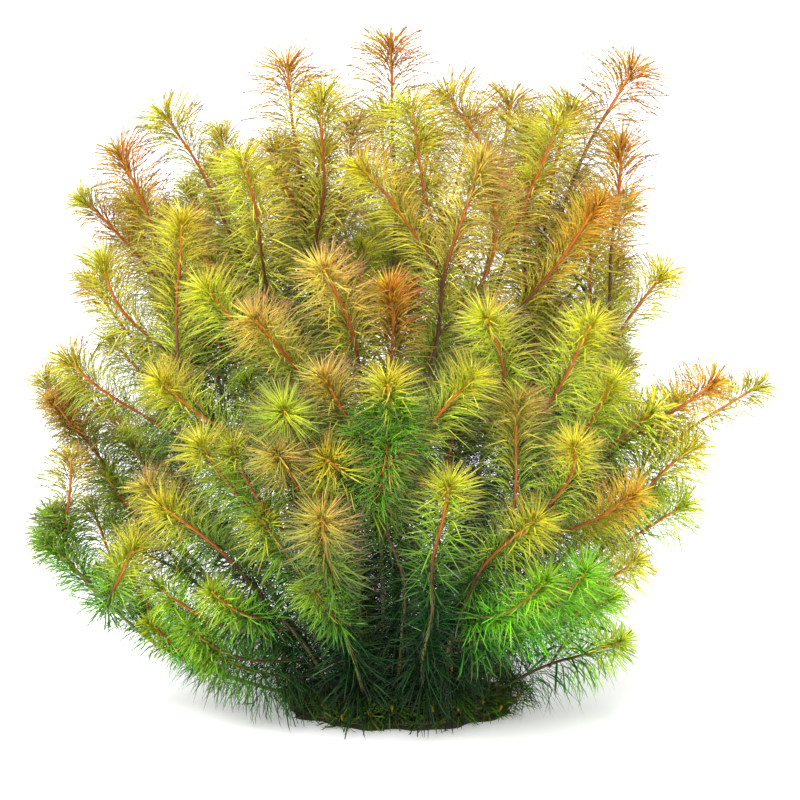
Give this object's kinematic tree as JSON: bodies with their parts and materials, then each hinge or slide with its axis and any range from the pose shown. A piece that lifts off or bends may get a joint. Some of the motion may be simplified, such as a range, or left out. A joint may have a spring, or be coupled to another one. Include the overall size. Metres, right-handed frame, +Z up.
{
  "type": "whorly rotala",
  "caption": "Bushy red-stemmed water-garden plant with whorls of fine needle leaves, cut off flat at ground level.",
  "frame": {"origin": "middle of the flat cut underneath the root crown, where the clump rests", "axes": "+Z up along the clump's height, -Y towards the viewer of the picture, +X to the picture's right"},
  "size_m": [0.2478, 0.2403, 0.2213],
  "materials": {
    "root_crown": "matte",
    "stem": "satin",
    "leaf": "satin"
  },
  "bodies": {
    "root": {"root_crown": "root_crown", "stem_01": "stem", "stem_02": "stem", "stem_03": "stem", "stem_04": "stem", "stem_05": "stem", "stem_06": "stem", "stem_07": "stem", "stem_08": "stem", "stem_09": "stem", "stem_10": "stem", "stem_11": "stem", "stem_12": "stem", "stem_13": "stem", "stem_14": "stem", "stem_15": "stem", "stem_16": "stem", "stem_17": "stem", "stem_18": "stem", "stem_19": "stem", "stem_20": "stem", "stem_21": "stem", "stem_22": "stem", "stem_23": "stem", "stem_24": "stem", "stem_25": "stem", "stem_26": "stem", "stem_27": "stem", "stem_28": "stem", "stem_29": "stem", "leaves_01": "leaf", "leaves_02": "leaf", "leaves_03": "leaf", "leaves_04": "leaf", "leaves_05": "leaf", "leaves_06": "leaf", "leaves_07": "leaf", "leaves_08": "leaf", "leaves_09": "leaf", "leaves_10": "leaf", "leaves_11": "leaf", "leaves_12": "leaf", "leaves_13": "leaf", "leaves_14": "leaf", "leaves_15": "leaf", "leaves_16": "leaf", "leaves_17": "leaf", "leaves_18": "leaf", "leaves_19": "leaf", "leaves_20": "leaf", "leaves_21": "leaf", "leaves_22": "leaf", "leaves_23": "leaf", "leaves_24": "leaf", "leaves_25": "leaf", "leaves_26": "leaf", "leaves_27": "leaf", "leaves_28": "leaf", "leaves_29": "leaf"}
  },
  "joints": []
}
